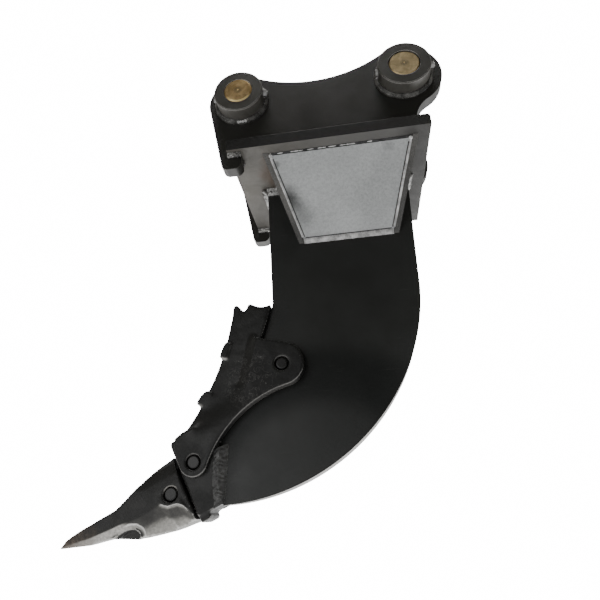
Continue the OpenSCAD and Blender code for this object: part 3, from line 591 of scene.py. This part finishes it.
# The flanks turn in below a line that runs from the pin's boss to the blade's lower edge
line_u = [0.0, 0.007, 0.0126, 0.0215, 0.0403, 0.0509, 0.095, 0.118, 0.138, 0.175, 0.204, 0.264]
line_v = [-0.056, -0.043, -0.031, -0.0228, -0.0188, -0.0095, -0.0085, -0.006, -0.003, 0.0006, 0.004, 0.016]
below = np.clip(np.interp(u, line_u, line_v) - v, 0, 0.06)
on_flank = 0.10 * below + 20.0 * np.maximum(below - 0.019, 0) ** 2
on_blade = 0.9 * np.minimum(below, 0.012)
oval = np.hypot((u - 0.143) / 0.031, (v + 0.034) / 0.0185)
blade = np.maximum(np.clip((u - 0.122) / 0.022, 0, 1), np.clip((1.45 - oval) / 0.22, 0, 1))
turn_in = on_flank + (on_blade - on_flank) * blade
co[:, 1] -= np.sign(co[:, 1]) * np.minimum(turn_in, np.abs(co[:, 1]) * 0.8)
above = v - np.interp(u, line_u, line_v)
boss = np.clip((above + 0.0015) / 0.003, 0, 1) * np.clip(1 - above / 0.020, 0, 1)
boss *= np.clip((0.024 - np.abs(u - 0.030)) / 0.006, 0, 1) * (np.abs(nrm[:, 1]) > 0.5)
rise = 0.0030 * boss + 0.0007 * lumps(co, 45.0, 9) * np.clip(u / 0.12, 0.3, 1.8) - 0.0007
co[:, 1] += np.sign(co[:, 1]) * rise
# The hollow under the blade's root is wider on the casting than its straight-sided core
co[:, 1] = np.where(oval < 1, np.clip(co[:, 1], -0.0135, 0.0135), co[:, 1])
set_points(tooth.data, co)
put(tooth, ["tooth"])

for name in ("tooth_pin", "upper_guard_pin", "lower_guard_pin"):
    put(remeshed(name + "_steel", name, 0.0011, 5, LOCK), [name])


# Weld beads


class Bead:
    """Gathers fillets with ripples into one mesh."""

    def __init__(self, seed):
        self.points, self.faces, self.tones, self.seed = [], [], [], seed

    def run(
        self, path, a, b, leg_a, leg_b,
        pitch=0.0055, bulge=0.16, closed=False, rows=9, lump=0.05, passes=1, tone=0,
    ):
        """Fillet along a path. a and b are the directions of its two feet on the plates."""
        path = np.asarray(path, float)
        count = len(path)
        a = np.broadcast_to(np.asarray(a, float), path.shape)
        b = np.broadcast_to(np.asarray(b, float), path.shape)
        out = a + b
        out = out / np.linalg.norm(out, axis=1)[:, None]
        step = np.linalg.norm(np.diff(path, axis=0), axis=1)
        s = np.concatenate([[0], np.cumsum(step)])
        self.seed += 1
        sway = np.array([noise.noise(Vector((x * 90, self.seed, 0))) for x in s])
        fat = np.array([noise.noise(Vector((x * 210, self.seed, 5))) for x in s])
        start = len(self.points)
        for i in range(count):
            wide = 1 + 0.10 * sway[i] + 0.05 * fat[i]
            for j in range(rows):
                f = j / (rows - 1)
                arch = math.sin(math.pi * f)
                phase = s[i] / pitch + 0.55 * arch + 0.4 * sway[i]
                ridge = abs(math.sin(math.pi * phase)) ** 0.6
                valley = 0.45 + 0.55 * abs(math.sin(math.pi * passes * f))
                swell = bulge * (0.45 + 0.75 * ridge) + lump * fat[i]
                high = (leg_a + leg_b) / 2 * arch * valley * swell
                foot = a[i] * leg_a * wide * (1 - f) + b[i] * leg_b * wide * f
                self.points.append(path[i] + foot + out[i] * high)
            self.points.append(path[i] - out[i] * 0.0004)
        ring = rows + 1
        for i in range(count if closed else count - 1):
            k, n = start + i * ring, start + ((i + 1) % count) * ring
            for j in range(ring):
                self.faces.append((k + j, n + j, n + (j + 1) % ring, k + (j + 1) % ring))
        if not closed:
            self.faces.append(tuple(start + j for j in range(ring)))
            self.faces.append(tuple(start + (count - 1) * ring + j for j in reversed(range(ring))))
        self.tones += [tone] * (len(self.faces) - len(self.tones))

    def blob(self, at, radius, squash=(1, 1, 1), tone=0, rings=9, turns=14):
        """Lumpy drop of weld metal."""
        self.seed += 1
        start = len(self.points)
        for i in range(rings + 1):
            tilt = math.pi * i / rings
            for j in range(turns):
                turn = 2 * math.pi * j / turns
                out = math.sin(tilt)
                way = Vector((out * math.cos(turn), out * math.sin(turn), math.cos(tilt)))
                r = radius * (1 + 0.28 * noise.noise(way * 1.7 + Vector((self.seed * 3.1, 0, 0))))
                self.points.append(np.array(at, float) + np.array(way) * r * np.array(squash))
        for i in range(rings):
            for j in range(turns):
                k, n = start + i * turns, start + (i + 1) * turns
                self.faces.append((k + j, n + j, n + (j + 1) % turns, k + (j + 1) % turns))
        self.tones += [tone] * (len(self.faces) - len(self.tones))

    def line(self, p, q, *args, **kwargs):
        """Straight fillet from p to q."""
        p, q = np.array(p, float), np.array(q, float)
        count = max(8, int(np.linalg.norm(q - p) / 0.0009))
        self.run([p + (q - p) * i / count for i in range(count + 1)], *args, **kwargs)

    def make(self, name, cad_node, *materials):
        """Piece for a CAD node, with one material for each tone."""
        mesh = bpy.data.meshes.new(name)
        mesh.from_pydata([tuple(p) for p in self.points], [], self.faces)
        bm = bmesh.new()
        bm.from_mesh(mesh)
        for face, tone in zip(bm.faces, self.tones):
            face.material_index = tone
        bmesh.ops.remove_doubles(bm, verts=bm.verts, dist=1e-6)
        bmesh.ops.recalc_face_normals(bm, faces=bm.faces)
        tones = [face.material_index for face in bm.faces]
        bm.to_mesh(mesh)
        bm.free()
        mesh.polygons.foreach_set("use_smooth", [True] * len(mesh.polygons))
        obj = new_object(name, mesh, materials[0])
        for material in materials[1:]:
            mesh.materials.append(material)
        mesh.polygons.foreach_set("material_index", tones)
        return put(obj, [cad_node])


base_low, base_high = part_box("base_plate")
ear_low, ear_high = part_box("ear_left")
shank_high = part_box("shank")[1]
ear_out, ear_in = -ear_low.y, -ear_high.y
UP, DOWN = (0, 0, 1), (0, 0, -1)
LEG = 0.008

collar_bead = Bead(10)
for side, word in ((-1, "left"), (1, "right")):
    for which in ("front", "rear"):
        low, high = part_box(f"{which}_collar_{word}")
        mid, r = (low + high) / 2, (high.z - low.z) / 2
        turns = np.linspace(0, 2 * math.pi, int(2 * math.pi * r / 0.0009), endpoint=False)
        out = np.c_[np.cos(turns), 0 * turns, np.sin(turns)]
        path = np.array([mid.x, side * ear_out, mid.z]) + out * r
        passes = 2 if which == "rear" else 1
        foot = (0, side, 0)
        collar_bead.run(path, out, foot, LEG, LEG, closed=True, bulge=0.24, lump=0.1, passes=passes)
    collar_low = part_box("front_collar_left")[0].z
    # Near-white blobs at the foot of each collar weld are painted sparkles: highlights in the bright seam
    # tone.
    for step in (-0.007, -0.002, 0.003, 0.0085):
        at = (step, side * (ear_out + 0.0050), collar_low - 0.0042 + 2.0 * step * step)
        collar_bead.blob(at, 0.0026 + 0.08 * abs(step), tone=1)
collar_bead.make("collar_weld_beads", "collar_welds", WELD_DARK, WELD_SEAM)

toe_back = -0.004
ear_bead = Bead(30)
for side in (-1, 1):
    for y, way in ((ear_out, side), (ear_in, -side)):
        a, start = (0, way, 0), (base_low.x, side * y)
        high_z, low_z = base_high.z, base_low.z
        ear_bead.line((*start, high_z), (REAR_PIN[0], side * y, high_z), a, UP, LEG, LEG, tone=1)
        toe_end = (toe_back, side * y, low_z)
        ear_bead.line((*start, low_z), toe_end, a, DOWN, LEG, LEG, bulge=0.3, lump=0.2)
        for step in range(9):
            at = (base_low.x + 0.003 + 0.003 * step, side * y + way * 0.004, low_z - 0.0055)
            sway = np.array([0, random.uniform(-1, 1), random.uniform(-1, 1)]) * 0.0022
            ear_bead.blob(np.array(at) + sway, random.uniform(0.0024, 0.0042))
ear_bead.make("ear_weld_beads", "ear_welds", WELD_BRIGHT, WELD_PAINTED)

shank_bead = Bead(50)
top, half, leg = base_low.z, shank_high.y, 0.014
front, rear = 0.025, shank_high.x
for side in (-1, 1):
    y = side * half
    shank_bead.line((front, y, top), (rear - 0.0005, y, top), (0, side, 0), DOWN, leg, leg, pitch=0.007)
for x, way, bulge in ((front, -1, 0.3), (rear, 1, 0.16)):
    shank_bead.line((x, -half, top), (x, half, top), (way, 0, 0), DOWN, leg, leg, pitch=0.007, bulge=bulge)
for side in (-1, 1):
    for _ in range(16):
        at = (
            front - 0.010 + random.random() * 0.020,
            side * (half + 0.004 + random.random() * 0.006),
            top - 0.002 - random.random() * 0.008,
        )
        shank_bead.blob(at, random.uniform(0.0024, 0.0042))
shank_bead.make("shank_weld_beads", "shank_welds", WELD_BRIGHT)

# Gusset box: reach from the shank, drop below the base plate, its two ends, their taper to the foot
REACH, DROP = 0.139, 0.147
BOX_FRONT, BOX_REAR, BOX_TAPER = 0.050, 0.351, 0.052
# Depth of the cover below the gussets, legs of the beads along it and at its head
RECESS, SEAM, HEAD = 0.004, 0.007, 0.0035
# Ends of the bead along the cover's foot, and of the painted shadow line above it
FOOT_ENDS, SHADOW_LINE_ENDS = (0.102, 0.299), (0.106, 0.295)
# Feet and bulge of the painted shadow line beside a bead
SHADOW_LINE = {"leg_a": 0.0015, "leg_b": 0.0005, "bulge": 0.05, "tone": 1}
slope = math.hypot(REACH, DROP)


def along_x(x):
    return np.array([x, 0, 0])


seam_bead = Bead(70)
for side in (-1, 1):
    foot = np.array([0, side * half, top - DROP])
    rise = np.array([0, side * REACH, DROP]) / slope
    out = np.array([0, side * DROP, -REACH]) / slope
    for start, way in ((BOX_FRONT, 1), (BOX_REAR, -1)):
        ends = []
        for s in (2 * SEAM, slope - 2 * SEAM):
            x = start + way * BOX_TAPER * (1 - s / slope)
            ends.append(foot + rise * s + along_x(x) - out * RECESS)
        seam_bead.line(
            *ends, (way, 0, 0), out, SEAM * 0.7, RECESS * 1.1, pitch=0.0045, bulge=0.3, lump=0.2
        )
        inward = along_x(way * SEAM * 0.75) + out * 0.0004
        seam_bead.line(ends[0] + inward, ends[1] + inward, (way, 0, 0), out, **SHADOW_LINE)
        for s, size in ((slope - SEAM, 0.0042), (slope - 1.7 * SEAM, 0.0034), (SEAM, 0.0026)):
            x = start + way * (BOX_TAPER * (1 - s / slope) + 0.003)
            seam_bead.blob(foot + rise * s + along_x(x) - out * RECESS * 0.6, size)
    low = np.array([0, side * half, top - DROP + RECESS / (REACH / slope)])
    head = np.array([0, side * (half + REACH - RECESS / (DROP / slope)), top])
    ends = [low + along_x(x) for x in FOOT_ENDS]
    seam_bead.line(*ends, rise, DOWN, SEAM * 0.9, SEAM, pitch=0.0045, lump=0.1)
    above = low + rise * SEAM + out * 0.0006
    ends = [above + along_x(x) for x in SHADOW_LINE_ENDS]
    seam_bead.line(*ends, rise, out, **SHADOW_LINE)
    ends = [head + along_x(x) for x in (BOX_FRONT + SEAM, BOX_REAR - SEAM)]
    # The head's bead takes the near-black tone: a painted shadow line along the cover's joint with the base
    # plate.
    seam_bead.line(*ends, -rise, (0, side, 0), HEAD, HEAD, pitch=0.0045, tone=1)
    # Short bright dashes along the head are painted highlights.
    for _ in range(16):
        at = head + np.array([0.075 + 0.26 * random.random(), side * 0.001, -0.001])
        seam_bead.blob(at, random.uniform(0.0009, 0.0015), (5.0, 1, 1))
seam_bead.make("seam_weld_beads", "gusset_welds", WELD_SEAM, WELD_SHADOW_LINE)

# The adapter's weld is wide, with curved ripples across it
weld_rows, weld_columns, over = 150, 34, 0.013
edge_u, edge_v = [-0.090, -0.064, -0.0536, -0.0484], [0.0356, -0.0165, -0.0483, -0.0605]
wide = [0.017, 0.0162, 0.0085, 0.006]
down_edge = [-v for v in edge_v]
pad_points, pad_faces, pad_tones = [], [], []
for side in (-1, 1):
    for under in (0, 1):
        start = len(pad_points)
        for i in range(weld_rows + 1):
            v = edge_v[0] + (edge_v[-1] - edge_v[0]) * i / weld_rows
            u_in, width = np.interp(-v, down_edge, edge_u), np.interp(-v, down_edge, wide)
            width *= 1 + 0.10 * noise.noise(Vector((v * 160, side * 4, 2)))
            for j in range(weld_columns + 1):
                f = j / weld_columns
                u = u_in + over - (width + over) * f
                fall = max(0.0, (u_in - u) / width)
                x = NOSE[0] - u * math.cos(PITCH) - v * math.sin(PITCH)
                z = NOSE[1] - u * math.sin(PITCH) + v * math.cos(PITCH)
                drift = noise.noise(Vector((u * 60, v * 60, side)))
                wave = math.sin((v / 0.0085 + 3.2 * (f - 0.35) ** 2 + 0.9 * drift) * 2 * math.pi)
                fade = math.sin(math.pi * min(1, f * 1.05)) * (0.6 + 0.6 * drift)
                high = 0.0129 * (1 - fall**1.6) - 0.0012 * max(0.0, 1 - f * 4) + 0.0007 * wave * fade
                high += 0.0005 * noise.noise(Vector((x * 180, z * 180, side)))
                pad_points.append((x, side * (half + (-0.0003 if under else max(high, 0.0004))), z))
        for i in range(weld_rows):
            for j in range(weld_columns):
                k = start + i * (weld_columns + 1) + j
                pad_faces.append((k, k + 1, k + weld_columns + 2, k + weld_columns + 1))
                pad_tones.append(1 if j >= weld_columns - 1 else 0)
        if under:
            size = (weld_rows + 1) * (weld_columns + 1)
            border = [i * (weld_columns + 1) for i in range(weld_rows)]
            border += [weld_rows * (weld_columns + 1) + j for j in range(weld_columns)]
            border += [i * (weld_columns + 1) + weld_columns for i in range(weld_rows, 0, -1)]
            border += list(range(weld_columns, 0, -1))
            for p, q in zip(border, border[1:] + border[:1]):
                pad_faces.append((start + p, start + q, start - size + q, start - size + p))
                pad_tones.append(0)
pad = Bead(90)
pad.points, pad.faces, pad.tones = [np.array(p) for p in pad_points], pad_faces, pad_tones
pad.make("adapter_weld_bead", "adapter_welds", WELD_PAINTED, WELD_EDGE)


# Floor, light and camera

WHITE = 16.0
FLOOR_NEAR, FLOOR_FAR, FLOOR_DIM, FLOOR_BRIGHT = -0.9, 0.9, 0.38, 2.6
floor_mesh = bpy.data.meshes.new("floor")
far, level = 30.0, cad_bounds[0].z - 0.04
corners = [(-far, -far, level), (far, -far, level), (far, far, level), (-far, far, level)]
floor_mesh.from_pydata(corners, [], [(0, 1, 2, 3)])
floor_paint, t = tree_of("floor_paint")
seen = node(t, "LightPath").outputs["Is Camera Ray"]
depth = axes(t, coords(t))[1]
lit = span(t, depth, FLOOR_NEAR, FLOOR_FAR, FLOOR_DIM, FLOOR_BRIGHT)
shown = node(t, "Mix", {0: seen, 2: lit, 3: WHITE}, data_type="FLOAT").outputs[0]
glow = node(t, "Emission", {"Color": (1, 1, 1, 1), "Strength": shown})
t.links.new(glow.outputs[0], node(t, "OutputMaterial").inputs[0])
new_object("floor", floor_mesh, floor_paint)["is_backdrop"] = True

world = bpy.data.worlds.new("studio")
bpy.context.scene.world = world
world.use_nodes = True
t = world.node_tree
t.nodes.clear()
aim = axes(t, node(t, "TexCoord").outputs["Generated"])[1]
tone = span(t, aim, -0.7, 0.8, 0.10, 0.9)
tint = mix(t, span(t, aim, -0.5, 0.5), (1.0, 0.94, 0.80), (1.0, 1.0, 1.0))
soft = node(t, "Background", {"Color": tint, "Strength": tone})
white = node(t, "Background", {"Color": (1, 1, 1, 1), "Strength": WHITE})
seen = node(t, "LightPath").outputs["Is Camera Ray"]
pick = node(t, "MixShader", {0: seen, 1: soft.outputs[0], 2: white.outputs[0]})
t.links.new(pick.outputs[0], node(t, "OutputWorld").inputs[0])


def area_light(name, at, toward, size, power, color=(1, 1, 1)):
    data = bpy.data.lights.new(name, "AREA")
    data.shape, data.size, data.energy, data.color = "DISK", size, power, color
    obj = bpy.data.objects.new(name, data)
    obj.location = at
    obj.rotation_mode = "QUATERNION"
    obj.rotation_quaternion = (Vector(toward) - Vector(at)).to_track_quat("-Z", "Y")
    bpy.context.scene.collection.objects.link(obj)


area_light("overhead", (0.2, -0.6, 2.4), (0.1, 0, -0.3), 1.6, 40)
area_light("low_front", (-0.9, -1.7, -0.55), (0.0, 0, -0.3), 1.5, 10)

# Camera solved from the photo: its place, focal length and picture side in pixels, sensor in mm
CAMERA_AT, FOCAL, PIXELS, SENSOR = (0.19386, -1.05181, -0.83916), 526.37, 600, 36.0
camera = bpy.data.objects.new("camera", bpy.data.cameras.new("camera"))
right = Vector((0.9898, 0.1298, -0.0582))
down = Vector((-0.1028, 0.3700, -0.9233))
ahead = right.cross(down).normalized()
down = ahead.cross(right).normalized()
right.normalize()
turned = Matrix((right, -down, -ahead)).transposed().to_4x4()
camera.matrix_world = Matrix.Translation(CAMERA_AT) @ turned
camera.data.sensor_width = SENSOR
camera.data.lens = FOCAL / PIXELS * SENSOR
camera.data.clip_start, camera.data.clip_end = 0.02, 200.0
camera.data.dof.use_dof = False
bpy.context.scene.collection.objects.link(camera)
bpy.context.scene.camera = camera

low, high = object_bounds()
